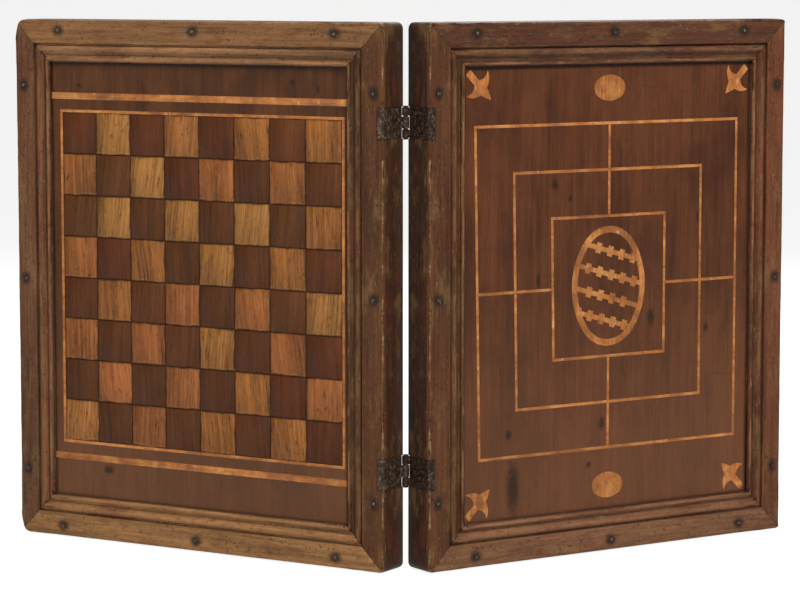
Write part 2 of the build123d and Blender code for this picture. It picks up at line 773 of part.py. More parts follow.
def hook_outline():
    """Flat hook hanging from its pivot at the origin, its jaw open towards -X."""
    slot = PIVOT_RADIUS + STUD_ROOM
    with BuildSketch() as channel:
        Circle(HOOK_LENGTH + slot)
        Circle(HOOK_LENGTH - slot, mode=Mode.SUBTRACT)
        Rectangle(HOOK_LENGTH, 2 * HOOK_LENGTH, align=(Align.MAX, Align.MAX), mode=Mode.INTERSECT)
    with BuildSketch() as hook:
        Circle(HOOK_EYE)
        Rectangle(HOOK_SHANK, HOOK_LENGTH - slot, align=(Align.CENTER, Align.MAX))
        with Locations((-1, -HOOK_LENGTH)):
            RegularPolygon(HOOK_JAW, 8, major_radius=False, rotation=22.5)
        with Locations((HOOK_SHANK / 4, -HOOK_LENGTH - HOOK_JAW)):
            Rectangle(HOOK_TAIL_WIDTH, 2 * HOOK_TAIL)
        with Locations((0, -HOOK_LENGTH)):
            Circle(slot, mode=Mode.SUBTRACT)
        add(channel.sketch, mode=Mode.SUBTRACT)
        Circle(PIVOT_RADIUS + PIVOT_CLEARANCE, mode=Mode.SUBTRACT)
    return hook.sketch


def hook(v):
    """Hook on the chess tray's front face, hanging from its pivot nail."""
    side = SIDES["chess"]
    with BuildPart() as plate:
        with BuildSketch(front_plane(side, WIDTH + HOOK_GAP)):
            add(placed(hook_outline(), -side * HOOK_REACH, v))
        extrude(amount=HOOK_THICK)
    return plate


def headed_pins(side):
    """Headed nails with a round neck in a front face: the hooks' pivots, or the studs that they catch."""
    neck = HOOK_THICK + 2 * HOOK_GAP
    spots = [(-side * HOOK_REACH, v) for v in hook_heights()]
    with BuildPart() as pins:
        with BuildSketch(front_plane(side, WIDTH)):
            with Locations(*spots):
                Rectangle(STUD_SHANK, STUD_SHANK)
        extrude(amount=-STUD_DEPTH)
        with BuildSketch(front_plane(side, WIDTH)):
            with Locations(*spots):
                Circle(PIVOT_RADIUS)
        extrude(amount=neck)
        with BuildSketch(front_plane(side, WIDTH + neck)):
            with Locations(*spots):
                RegularPolygon(STUD_HEAD, 8)
        extrude(amount=STUD_RISE, taper=35)
    return pins


# Everything is made and written out here


def make_tray(name, beds):
    """Walls, panel, planted frame, nails, points and hinge leaves of one tray."""
    side = SIDES[name]
    finish(long_wall(side, "spine"), f"{name}_spine_wall")
    finish(long_wall(side, "front"), f"{name}_front_wall")
    finish(end_wall(side, "top"), f"{name}_top_wall")
    finish(end_wall(side, "bottom"), f"{name}_bottom_wall")
    finish(panel(side, beds), f"{name}_panel")
    for edge in EDGES:
        finish(band(side, edge), f"{name}_{edge}_band")
        finish(moulding(side, edge), f"{name}_{edge}_moulding")
    finish(band_nails(side), f"{name}_band_nails")
    for shade in ("light", "dark"):
        finish(inlay(side, points(side, shade), FLOOR, POINT_INLAY), f"{name}_{shade}_points")
    for place, foot in zip(("lower", "upper"), HINGE_FEET):
        finish(hinge_leaf(side, foot), f"{name}_{place}_leaf")
    finish(leaf_nails(side), f"{name}_leaf_nails")


CHESS, MORRIS = SIDES["chess"], SIDES["morris"]
make_tray("chess", [chess_bed(CHESS), chess_fillets(CHESS)])
finish(inlay(CHESS, chess_squares(CHESS, "light")), "light_squares")
finish(inlay(CHESS, chess_squares(CHESS, "dark")), "dark_squares")
finish(inlay(CHESS, chess_border(CHESS)), "chess_border")
finish(inlay(CHESS, chess_fillets(CHESS)), "chess_fillets")

SQUARES = {"outer": MORRIS_SIDE, "middle": MORRIS_MIDDLE, "inner": MORRIS_INNER}
morris_beds = [morris_square(MORRIS, length, 0) for length in SQUARES.values()]
morris_beds += [morris_cross(MORRIS, 0), oval_ring(MORRIS, 0), oval_bars(MORRIS, 0)]
morris_beds += [corner_flowers(MORRIS), small_ovals(MORRIS)]
make_tray("morris", morris_beds)
for place, length in SQUARES.items():
    finish(inlay(MORRIS, morris_square(MORRIS, length, INLAY_JOINT)), f"morris_{place}_square")
finish(inlay(MORRIS, morris_cross(MORRIS, INLAY_JOINT)), "morris_cross_strings")
finish(inlay(MORRIS, oval_ring(MORRIS, INLAY_JOINT)), "oval_ring")
finish(inlay(MORRIS, oval_bars(MORRIS, INLAY_JOINT)), "oval_bars")
finish(inlay(MORRIS, corner_flowers(MORRIS)), "corner_flowers")
finish(inlay(MORRIS, small_ovals(MORRIS)), "small_ovals")

for place, foot in zip(("lower", "upper"), HINGE_FEET):
    finish(hinge_pin(foot), f"{place}_hinge_pin")
for place, v in zip(("lower", "upper"), hook_heights()):
    finish(hook(v), f"{place}_hook")
finish(headed_pins(CHESS), "hook_pivots")
finish(headed_pins(MORRIS), "catch_studs")
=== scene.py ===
import json
from math import cos, radians, sin

import bpy
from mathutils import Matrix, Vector


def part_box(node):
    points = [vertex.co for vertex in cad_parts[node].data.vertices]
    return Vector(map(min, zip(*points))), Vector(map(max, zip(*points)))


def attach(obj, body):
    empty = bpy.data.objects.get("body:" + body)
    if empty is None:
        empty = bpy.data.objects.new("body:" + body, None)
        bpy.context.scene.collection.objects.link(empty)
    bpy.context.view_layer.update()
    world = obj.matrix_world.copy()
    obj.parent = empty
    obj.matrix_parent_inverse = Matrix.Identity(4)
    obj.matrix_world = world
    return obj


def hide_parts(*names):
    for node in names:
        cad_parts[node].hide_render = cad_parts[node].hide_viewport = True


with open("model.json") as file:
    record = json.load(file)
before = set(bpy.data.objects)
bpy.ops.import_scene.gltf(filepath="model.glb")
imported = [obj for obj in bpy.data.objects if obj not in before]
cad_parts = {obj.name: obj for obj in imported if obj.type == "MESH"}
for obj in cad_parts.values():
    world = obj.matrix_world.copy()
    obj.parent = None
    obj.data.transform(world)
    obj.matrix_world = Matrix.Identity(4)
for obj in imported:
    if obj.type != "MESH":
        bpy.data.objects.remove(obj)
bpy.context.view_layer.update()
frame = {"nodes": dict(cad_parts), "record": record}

# The looks of a folding walnut games box: two trays, their inlaid faces and their ironwork.
# Lengths are in millimetres and turned to metres where Blender needs them.
# A tray's own measures: u runs from its spine to its front edge, w out from its rim to its
# outer face, and v up from the floor.

HEIGHT = 480.0
WIDTH = 400.0
TRAY_DEPTH = 33.0
PANEL_FACE = 28.0
BAND_WIDTH = 22.0
FRAME_WIDTH = 39.0
SIDES = {"chess": -1, "morris": 1}
EDGES = ("bottom", "front", "top", "spine")
CHESS_U, CHESS_V, CHESS_SQUARE = 197.0, 243.0, 38.0

# How each tray stands: its turn from the picture's plane, and its place off the hinges' axis
TURN = radians(32.35)
AXIS_Y = -94.495
STANDOFF = 2.65
RIM_SHIFT = 0.15

# Lines along the moulding, in from the tray's edge
SHOULDER = 26.9
VALLEY = 32.2
BEAD_CREST = 36.4
BEAD_FOOT = 38.1

# Nails in a band: one at its middle and one each way from it
NAIL_INSET = 10.0
NAIL_STEP = {"bottom": 150.0, "top": 150.0, "spine": 179.0, "front": 179.0}

# Wear of the wood: the distance between cuts, then the depth of its long and short hollows
WEAR = {"band": (4.0, 0.7, 0.4), "moulding": (5.0, 0.35, 0.25)}
LONG_HOLLOW, SHORT_HOLLOW = 25, 6
BAND_ARRIS, WALL_ARRIS, SQUARE_ARRIS = 0.35, 0.6, 0.35

# Radius of the two corners at a tray's front edge, and which of them each side's pieces reach
CORNER_WEAR = 9.0
CORNERS_OF = {"bottom": ["bottom"], "front": ["bottom", "top"], "top": ["top"], "spine": []}

# More than a clouds texture ever gives. As the middle of a displacement it turns all of it inwards.
DEEPEST = 1.35

# Fineness of the ironwork's worn surface
LEAF_VOXEL, NAIL_VOXEL = 0.35, 0.4

# Specular level of every finish, low so that the dark wood doesn't turn grey
SATIN = 0.16

# The floor's glow and how much of it hides the shadow, and the room's light on the part
FLOOR_GLOW, FLOOR_GLOW_SHARE = 1.2, 0.7
FILL_LIGHT = 0.19


def across_and_along(edge, u, v):
    """Distance in from one side of a tray, distance along that side, and the side's length."""
    return {
        "bottom": (v, u, WIDTH),
        "top": (HEIGHT - v, u, WIDTH),
        "spine": (u, v, HEIGHT),
        "front": (WIDTH - u, v, HEIGHT),
    }[edge]


# Node drawing


class Value:
    """A number that a finish's nodes work out at each point of the surface."""

    def __init__(self, finish, socket):
        self.finish, self.socket = finish, socket

    def __add__(self, other):
        return self.finish.math("ADD", self, other)

    def __sub__(self, other):
        return self.finish.math("SUBTRACT", self, other)

    def __rsub__(self, other):
        return self.finish.math("SUBTRACT", other, self)

    def __mul__(self, other):
        return self.finish.math("MULTIPLY", self, other)

    def size(self):
        return self.finish.math("ABSOLUTE", self)

    def least(self, other):
        return self.finish.math("MINIMUM", self, other)

    def most(self, other):
        return self.finish.math("MAXIMUM", self, other)

    def floor(self):
        return self.finish.math("FLOOR", self)

    def rise(self, start, end):
        """0 below start, 1 above end, and smooth between them."""
        node = self.finish.add("ShaderNodeMapRange", interpolation_type="SMOOTHSTEP")
        self.finish.feed(node.inputs["Value"], self)
        node.inputs["From Min"].default_value = start
        node.inputs["From Max"].default_value = end
        return Value(self.finish, node.outputs["Result"])

    def fade(self, start, end):
        """1 below start, 0 above end, and smooth between them."""
        return 1.0 - self.rise(start, end)


class Finish:
    """One material, drawn in a tray's own measures."""

    def __init__(self, name):
        self.material = bpy.data.materials.new(name)
        self.material.use_nodes = True
        self.tree = self.material.node_tree
        self.tree.nodes.clear()
        self.shader = self.add("ShaderNodeBsdfPrincipled")
        output = self.add("ShaderNodeOutputMaterial")
        self.tree.links.new(self.shader.outputs["BSDF"], output.inputs["Surface"])

    def add(self, kind, **settings):
        node = self.tree.nodes.new(kind)
        for name, value in settings.items():
            setattr(node, name, value)
        return node

    def feed(self, socket, value):
        """Puts a number, a row of numbers, a colour's code or another node's result in a socket."""
        if isinstance(value, str):
            value = linear(value)
        if isinstance(value, Value):
            self.tree.links.new(value.socket, socket)
        elif isinstance(value, (int, float)):
            socket.default_value = value
        elif isinstance(value, tuple):
            socket.default_value = (*value, 1.0)[: len(socket.default_value)]
        else:
            self.tree.links.new(value, socket)

    def math(self, operation, *values):
        node = self.add("ShaderNodeMath", operation=operation)
        for socket, value in zip(node.inputs, values):
            self.feed(socket, value)
        return Value(self, node.outputs[0])

    def measures(self, side):
        """The u, w and v of a tray, chosen by its number in SIDES, at the point."""
        where = self.add("ShaderNodeTexCoord").outputs["Object"]
        turn = self.add("ShaderNodeMapping", vector_type="POINT")
        self.feed(turn.inputs["Vector"], where)
        self.feed(turn.inputs["Scale"], (side * 1000, -1000, 1000))
        self.feed(turn.inputs["Rotation"], (0, 0, TURN))
        spine = -(sin(TURN) * AXIS_Y + STANDOFF)
        rim = cos(TURN) * AXIS_Y - RIM_SHIFT
        self.feed(turn.inputs["Location"], (spine, rim, 0))
        split = self.add("ShaderNodeSeparateXYZ")
        self.feed(split.inputs[0], turn.outputs[0])
        return [Value(self, socket) for socket in split.outputs]

    def point(self, x, y, z):
        node = self.add("ShaderNodeCombineXYZ")
        for socket, value in zip(node.inputs, (x, y, z)):
            self.feed(socket, value)
        return node.outputs[0]

    def noise(self, point, scale, detail=3.0, rough=0.55, bend=0.0):
        """Cloudy pattern from 0 to 1. scale is per millimetre, one number or three."""
        if isinstance(scale, tuple):
            stretch = self.add("ShaderNodeVectorMath", operation="MULTIPLY")
            self.feed(stretch.inputs[0], point)
            self.feed(stretch.inputs[1], scale)
            point, scale = stretch.outputs[0], 1.0
        node = self.add("ShaderNodeTexNoise")
        self.feed(node.inputs["Vector"], point)
        node.inputs["Scale"].default_value = scale
        node.inputs["Detail"].default_value = detail
        node.inputs["Roughness"].default_value = rough
        node.inputs["Distortion"].default_value = bend
        return Value(self, node.outputs["Fac"])

    def chance(self, point):
        """A number from 0 to 1 that is the same all over one cell."""
        node = self.add("ShaderNodeTexWhiteNoise")
        self.feed(node.inputs["Vector"], point)
        return Value(self, node.outputs["Value"])

    def times(self, colour, share):
        """The colour made darker or lighter by share, where 1 leaves it alone."""
        node = self.add("ShaderNodeVectorMath", operation="SCALE")
        self.feed(node.inputs[0], colour)
        self.feed(node.inputs["Scale"], share)
        return node.outputs[0]

    def ramp(self, share, *stops):
        """Colour that changes with share through (place, colour) stops."""
        node = self.add("ShaderNodeValToRGB")
        self.feed(node.inputs[0], share)
        elements = node.color_ramp.elements
        while len(elements) < len(stops):
            elements.new(0.5)
        for element, (place, colour) in zip(elements, stops):
            element.position = place
            element.color = (*linear(colour), 1.0)
        return node.outputs["Color"]

    def mix(self, share, under, over):
        """over laid on under by share."""
        node = self.add("ShaderNodeMix", data_type="RGBA")
        sockets = [s for s in node.inputs if s.type == "RGBA"]
        self.feed(node.inputs["Factor"], share)
        for socket, colour in zip(sockets, (under, over)):
            self.feed(socket, colour)
        return [s for s in node.outputs if s.type == "RGBA"][0]

    def lay(self, colour, *layers):
        """colour with (share, tone) layers laid on it, the lowest first."""
        for share, tone in layers:
            colour = self.mix(share, colour, tone)
        return colour

    def close(self, colour, height, depth, rough, metallic=0.0):
        """Plugs colour, height over depth in millimetres and roughness into the shader."""
        self.feed(self.shader.inputs["Base Color"], colour)
        self.feed(self.shader.inputs["Roughness"], rough)
        bump = self.add("ShaderNodeBump")
        self.feed(bump.inputs["Height"], height)
        bump.inputs["Distance"].default_value = depth / 1000
        self.tree.links.new(bump.outputs["Normal"], self.shader.inputs["Normal"])
        self.shader.inputs["Specular IOR Level"].default_value = SATIN
        self.shader.inputs["Metallic"].default_value = metallic
        return self.material


def linear(code):
    """A colour written as on screen, such as 7a5638, in Blender's linear numbers."""
    parts = [int(code[i : i + 2], 16) / 255 for i in (0, 2, 4)]
    return tuple(p / 12.92 if p <= 0.04045 else ((p + 0.055) / 1.055) ** 2.4 for p in parts)


def grain(finish, across, depth, along, seed, fine=1.0):
    """Straight walnut grain: its figure, about 0 to 1 in light and dark streaks, and its pores."""
    place = finish.point(across + seed, depth, along + seed * 3.7)
    sway = finish.noise(place, (0.011, 0.011, 0.0032), 2.0) * 9.0
    bent = finish.point(across + seed + sway, depth, along)
    drift = finish.noise(bent, (0.035, 0.035, 0.0045), 2.0, 0.5)
    streak = finish.noise(bent, (0.3 * fine, 0.3 * fine, 0.011), 4.0, 0.65)
    fibre = finish.noise(bent, (1.5, 1.5, 0.05), 3.0, 0.6)
    pore = finish.noise(bent, (2.6, 2.6, 0.16), 2.0, 0.5).rise(0.6, 0.72)
    return drift * 0.9 + streak * 1.1 + fibre * 0.7 - 0.85, pore


def distance(finish, across, up):
    """Straight distance, from its two parts."""
    return finish.math("SQRT", across * across + up * up)


# Woods


# For each side of each tray: its band, its moulding and its wall. The spine walls, which face each
# other, are darker partly as painted shade.
FRAME_TONES = {
    ("chess", "bottom"): ("936a41", "956a43", "523423"),
    ("chess", "front"): ("63412a", "6f472c", "4e3223"),
    ("chess", "top"): ("7c5736", "8d6544", "543824"),
    ("chess", "spine"): ("52331b", "4d301a", "392012"),
    ("morris", "bottom"): ("785339", "775038", "452d1f"),
    ("morris", "front"): ("633a24", "5a341f", "45291c"),
    ("morris", "top"): ("4f3020", "5b3a27", "412818"),
    ("morris", "spine"): ("53331d", "52331c", "331e12"),
}


def frame_wood(name, edge, seed):
    """Finish of one side's wall, band and moulding, with its nail stains, joints and wear, painted
    highlights on its arris and crests, and painted shade in its grooves.
    """
    finish = Finish(f"{name}_{edge}_walnut")
    u, w, v = finish.measures(SIDES[name])
    inset, along, length = across_and_along(edge, u, v)
    end_run = along.least(length - along)
    outer = w.rise(PANEL_FACE - 0.4, PANEL_FACE + 0.2)

    place = finish.point(u, w, v)
    stretched = finish.point(inset, w, along)
    figure, pore = grain(finish, inset, w, along, seed)
    blotch = finish.noise(stretched, (0.06, 0.06, 0.022), 5.0, 0.65)
    ragged = finish.noise(place, 0.4, 4.0, 0.7)
    speck = finish.noise(place, 0.25, 5.0, 0.75)
    patchy = finish.noise(stretched, (0.1, 0.1, 0.03), 4.0, 0.7)

    band, moulding, wall = FRAME_TONES[name, edge]
    colour = finish.mix(inset.rise(BAND_WIDTH, BAND_WIDTH + 0.8), band, moulding)
    colour = finish.mix(outer, wall, colour)
    colour = finish.times(colour, figure * 1.5 + 0.2)
    worm = speck.rise(0.52, 0.66) * (patchy.rise(0.44, 0.58) * 0.6 + 0.2)
    colour = finish.lay(
        colour,
        (blotch.rise(0.5, 0.66) * 0.5, "5c2e1b"),
        (blotch.fade(0.34, 0.5) * 0.45, "7d5c38"),
        (worm, "22160f"),
        (pore * 0.4, "2a1a12"),
    )

    worn = patchy.rise(0.46, 0.6) * outer
    # Pale bare wood worn along the outer arris, strongest on the spine, together with a painted
    # highlight along that rounded arris
    ridge = inset + (TRAY_DEPTH - w) + ragged * 3.0 - 1.5
    arris_wear_and_highlight = ridge.fade(1.6, 3.0) * patchy.rise(0.48, 0.58) * (1.0 if edge == "spine" else 0.45)
    # Paler in patches along the crests of the bead and the shoulder: rubbed wear, and painted
    # highlight where the rounds catch the light
    bead_wear_and_highlight = (inset - BEAD_CREST).size().fade(0.4, 1.5) * worn
    shoulder_wear_and_highlight = (inset - SHOULDER).size().fade(0.4, 2.6) * worn
    # Painted shade in the moulding's valley and on its inner face below the bead, where it drops to
    # the panel
    groove_shade = ((inset - VALLEY).size().fade(0.3, 1.5) * 0.4).most(
        inset.rise(BEAD_FOOT, BEAD_FOOT + 0.6) * 0.6
    )

    mitre = (end_run - inset).size() + ragged * 2.0 - 1.0
    seam = (inset - BAND_WIDTH - 0.3 + (ragged - 0.5)).size()
    planted = (w - PANEL_FACE).size() + ragged * 0.6 - 0.3
    outside = inset.fade(0.0, 0.6).most(end_run.fade(0.0, 0.3))
    cracks = (mitre.fade(0.1, 0.45) * 0.8).most(seam.fade(0.1, 0.5) * 0.6) * outer
    cracks = cracks.most(planted.fade(0.1, 0.45) * outside * 0.8)

    from_middle = (along - length / 2).size()
    from_nail = from_middle.least((from_middle - NAIL_STEP[edge]).size())
    beside = (from_nail + ragged * 3.0 - 1.5) * 0.8
    above = inset - NAIL_INSET + speck * 4.0 - 2.0
    nail_stain = distance(finish, beside, above).fade(2.2, 7.5) * outer

    scratch = finish.noise(stretched, (0.9, 0.9, 0.06), 2.0, 0.5, 1.5).rise(0.68, 0.73)
    fleck = finish.noise(place, 0.7, 2.0, 0.5).rise(0.72, 0.76)
    colour = finish.lay(
        colour,
        (arris_wear_and_highlight * 0.85, "a98661"),
        (bead_wear_and_highlight * 0.6, "96694a"),
        (shoulder_wear_and_highlight * 0.35, "8f6846"),
        (groove_shade * outer, "22150f"),
        (cracks * 0.75, "150d09"),
        (nail_stain * 0.85, "201813"),
        (scratch * 0.4, "a98a68"),
        (fleck * 0.5, "c4a582"),
    )
    height = figure * 0.3 - pore * 0.5 - cracks * 1.2 + ragged * 0.5 + blotch * 1.6
    return finish.close(colour, height, 0.4, speck * 0.2 + 0.5)


# Knots and stains of each panel: u, v, width and how many times as tall as wide
PANEL_MARKS = {
    "chess": [
        (141, 327, 4, 1.6),
        (186, 220, 4, 1.3),
        (283, 330, 2, 5.0),
        (254, 338, 3, 1.0),
        (300, 66, 6, 0.8),
        (96, 427, 3, 1.0),
        (70, 421, 2, 2.0),
        (330, 420, 3, 0.7),
    ],
    "morris": [
        (138, 335, 4, 1.4),
        (155, 322, 3, 1.2),
        (247, 210, 5, 1.8),
        (312, 197, 3, 1.4),
        (93, 66, 8, 3.2),
        (88, 115, 4, 1.2),
        (177, 80, 3, 1.0),
        (192, 117, 4, 1.6),
        (301, 300, 2, 3.0),
        (120, 250, 2, 4.0),
    ],
}


def panel_wood(name, tone, seed, marks=()):
    """Finish of a tray's panel, upright grain, with its knots and stains, dirt and painted shade
    round its rim, and painted shadow under its top and front lips.
    """
    finish = Finish(f"{name}_panel_walnut")
    u, w, v = finish.measures(SIDES[name])
    front = w.rise(PANEL_FACE - 1.5, PANEL_FACE - 1.0)
    figure, pore = grain(finish, u, w, v, seed)
    blotch = finish.noise(finish.point(u + seed, w, v), (0.02, 0.02, 0.012), 5.0, 0.65)
    ragged = finish.noise(finish.point(u, w, v), 0.25, 4.0, 0.7)
    cross = finish.noise(finish.point(u, w, v + seed), (0.02, 0.02, 0.3), 3.0, 0.6)

    # Darker all round the panel next to the moulding: dirt, and painted shade where the moulding
    # stands over it
    rim = u.least(WIDTH - u).least(v.least(HEIGHT - v)) + ragged * 3.0
    rim_dirt_and_shade = rim.fade(FRAME_WIDTH + 1.0, FRAME_WIDTH + 5.0) * front
    # Painted shadow cast on the panel by the lips of the top and front mouldings
    under = (HEIGHT - v).least(WIDTH - u + 1.0) + ragged * 3.0
    lip_shadow = under.fade(FRAME_WIDTH + 1.5, FRAME_WIDTH + 6.0) * front
    colour = finish.lay(
        finish.times(tone, figure * 1.3 + 0.3),
        (blotch.rise(0.48, 0.68) * 0.5, "30190f"),
        (blotch.fade(0.32, 0.5) * 0.4, "653c22"),
        (cross.rise(0.6, 0.75) * 0.25, "2b1812"),
        (pore * 0.4, "23140e"),
        # Paler towards the bottom
        (v.fade(30.0, 300.0) * 0.3, "80573c"),
        (rim_dirt_and_shade * 0.5, "1c110c"),
        (lip_shadow * 0.75, "150c08"),
    )
    height = figure * 0.3 - pore * 0.5 + blotch * 1.0
    stain = None
    for mark_u, mark_v, size, tall in marks:
        reach = distance(finish, (u - mark_u) * (1 / size), (v - mark_v) * (1 / (size * tall)))
        one = (reach + ragged * 1.6 - 0.8).fade(0.3, 1.3)
        stain = one if stain is None else stain.most(one)
    if stain is not None:
        colour = finish.mix(stain * front * 0.75, colour, "1c120e")
        height = height - stain * front * 0.6
    return finish.close(colour, height, 0.3, ragged * 0.16 + 0.45)


def square_wood(name, pale, tones, seed):
    """Finish of the chess squares: each has its own tone and grain, and dark glue at its edges."""
    finish = Finish(name)
    u, w, v = finish.measures(SIDES["chess"])
    column = (u - CHESS_U + 4 * CHESS_SQUARE) * (1 / CHESS_SQUARE)
    row = (v - CHESS_V + 4 * CHESS_SQUARE) * (1 / CHESS_SQUARE)
    pick = finish.chance(finish.point(column.floor(), row.floor(), seed))
    other = finish.chance(finish.point(row.floor(), column.floor(), seed + 9.0))
    across = u + v * ((pick - 0.5) * 0.3) + pick * 700.0
    along = v + other * 900.0
    own = finish.point(across, w, along)
    figure, pore = grain(finish, across, w, along, seed, 1.6)
    ragged = finish.noise(finish.point(u, w, v), 0.5, 4.0, 0.7)
    burr = finish.noise(own, (0.3, 0.3, 0.09), 5.0, 0.75, 0.6)
    hole = finish.noise(own, (0.45, 0.45, 0.2), 3.0, 0.6).rise(0.69, 0.73)
    uneven = finish.noise(own, (0.07, 0.07, 0.07), 3.0, 0.6) * 5.0 - 2.4
    side_u = finish.math("PINGPONG", column, 0.5)
    side_v = finish.math("PINGPONG", row, 0.5)
    edge = side_u.least(side_v) * CHESS_SQUARE
    joint = edge - uneven * (1.0 if pale else 0.5) + ragged * 1.2 - 0.6

    main, warm, light, dark = tones
    contrast, base, strength = (2.0, -0.05, 0.85) if pale else (1.4, 0.25, 0.4)
    colour = finish.mix(other.rise(0.2, 0.9), main, warm)
    colour = finish.mix(pick.rise(0.55, 1.0) * 0.7, colour, light)
    colour = finish.lay(
        finish.times(colour, figure * contrast + base),
        (burr.rise(0.54, 0.7) * strength, dark),
        (burr.fade(0.32, 0.45) * strength * 0.6, light),
        (pore * 0.35, dark),
        (hole * strength, "1a0f08"),
        (joint.fade(0.3, 2.2) * 0.4, "3a2212"),
        (joint.fade(0.1, 0.7) * 0.6, "22140c"),
    )
    if pale:
        foot = finish.math("FRACT", row) * CHESS_SQUARE - uneven - 0.8
        chipped = (foot - 0.9).size().fade(0.2, 1.0) * ragged.rise(0.46, 0.62)
        colour = finish.mix(chipped * 0.5, colour, "a9825a")
    height = figure * 0.3 - pore * 0.3 - hole * 1.5 - joint.fade(0.1, 0.8) * 1.0 + pick * 0.3
    return finish.close(colour, height, 0.35, ragged * 0.18 + 0.45)


def inlay_wood(name, tray, upright, seed):
    """Finish of the light stringing, ovals and flowers, cut from short lengths of fruitwood."""
    finish = Finish(name)
    u, w, v = finish.measures(SIDES[tray])
    across, along = (u, v) if upright else (v, u)
    figure, pore = grain(finish, across, w, along, seed, 1.4)
    lengths = finish.noise(finish.point(u, v, seed), 0.05, 3.0, 0.6)
    dull = finish.noise(finish.point(u, w, v), 0.14, 4.0, 0.7)
    colour = finish.ramp(lengths, (0.36, "8b5732"), (0.5, "a86834"), (0.64, "b97e47"))
    colour = finish.lay(
        finish.times(colour, figure * 1.1 + 0.4),
        (dull.rise(0.55, 0.7) * 0.6, "6a4024"),
        (dull.fade(0.3, 0.42) * 0.5, "d5a87a"),
        (pore * 0.3, "6e3f20"),
    )
    height = figure * 0.2 - pore * 0.4 + dull * 0.6
    return finish.close(colour, height, 0.25, dull * 0.15 + 0.42)


def iron(name, tones):
    """Hand-forged iron, dark with old wax and a little rust."""
    finish = Finish(name)
    u, w, v = finish.measures(SIDES["morris"])
    place = finish.point(u, w, v)
    hammer = finish.noise(place, 0.22, 3.0, 0.5)
    skin = finish.noise(place, 0.32, 5.0, 0.75)
    colour = finish.ramp(skin, *zip((0.38, 0.52, 0.66), tones))
    colour = finish.mix(hammer.rise(0.52, 0.72) * 0.5, colour, "4a2c1c")
    return finish.close(colour, hammer * 2.0 + skin * 0.5, 0.35, skin * 0.35 + 0.3, 0.4)


# Worked pieces: copies of CAD nodes, cut, dented and worn as the old wood and iron are


bodies = frame["record"]["behaviour"]["bodies"]
body_of = {node: body for body, nodes in bodies.items() for node in nodes}
worked = {}


def coat(node, material):
    """Gives a CAD node, or the piece that stands for it, its finish."""
    slots = worked.get(node, frame["nodes"][node]).data.materials
    slots.clear()
    slots.append(material)


def take_up(node):
    """A merged copy of a CAD node, selected, that stands for it."""
    bpy.ops.object.select_all(action="DESELECT")
    piece = bpy.data.objects.new(f"worn_{node}", frame["nodes"][node].data.copy())
    bpy.context.scene.collection.objects.link(piece)
    piece.select_set(True)
    bpy.context.view_layer.objects.active = piece
    bpy.ops.object.mode_set(mode="EDIT")
    bpy.ops.mesh.select_all(action="SELECT")
    bpy.ops.mesh.remove_doubles(threshold=1e-5)
    bpy.ops.object.mode_set(mode="OBJECT")
    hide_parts(node)
    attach(piece, body_of[node])
    worked[node] = piece
    return piece


def press(piece, kind, **settings):
    """Adds one modifier and applies it."""
    modifier = piece.modifiers.new(kind.lower(), kind)
    for name, value in settings.items():
        setattr(modifier, name, value)
    bpy.ops.object.modifier_apply(modifier=modifier.name)


def dent(piece, size, depth, where=""):
    """Wears the surface inwards by up to depth, in hollows about size across."""
    texture = bpy.data.textures.new("wear", "CLOUDS")
    texture.noise_scale = size / 1000
    texture.noise_depth = 2
    press(
        piece,
        "DISPLACE",
        vertex_group=where,
        texture=texture,
        texture_coords="GLOBAL",
        strength=depth / 1000 / DEEPEST,
        mid_level=DEEPEST,
    )


def free_surface(piece, name, edge):
    """Marks the points of a band or moulding that nothing covers or meets, which can wear."""
    group = piece.vertex_groups.new(name="free")
    for vertex in piece.data.vertices:
        x, y, v = (1000 * measure for measure in vertex.co)
        x *= SIDES[name]
        u = cos(TURN) * x + sin(TURN) * (y - AXIS_Y) - STANDOFF
        w = sin(TURN) * x - cos(TURN) * (y - AXIS_Y) - RIM_SHIFT
        inset, along, length = across_and_along(edge, u, v)
        mitred = abs(min(along, length - along) - inset) < 0.3
        jointed = abs(inset - BAND_WIDTH) < 0.1 or w < PANEL_FACE + 0.1
        if not mitred and not jointed:
            group.add([vertex.index], 1.0, "REPLACE")
    return group.name


def soften(piece, width, segments=2):
    """Rounds the sharp arrises by width."""
    press(
        piece,
        "BEVEL",
        width=width / 1000,
        segments=segments,
        limit_method="ANGLE",
        angle_limit=radians(35),
    )


def smooth(angle=40):
    bpy.ops.object.shade_smooth_by_angle(angle=radians(angle))


def slice_along(piece, direction, step):
    """Cuts the piece across every step, so that it can wear unevenly along its length."""
    reach = [direction.dot(vertex.co) for vertex in piece.data.vertices]
    start, end = min(reach), max(reach)
    count = int((end - start) * 1000 / step)
    bpy.ops.object.mode_set(mode="EDIT")
    for cut in range(1, count):
        place = direction * (start + (end - start) * cut / count)
        bpy.ops.mesh.select_all(action="SELECT")
        bpy.ops.mesh.bisect(plane_co=place, plane_no=direction)
    bpy.ops.object.mode_set(mode="OBJECT")


def tray_direction(name):
    """The way that u runs on a tray, in Blender's frame."""
    return Vector((SIDES[name] * cos(TURN), sin(TURN), 0))


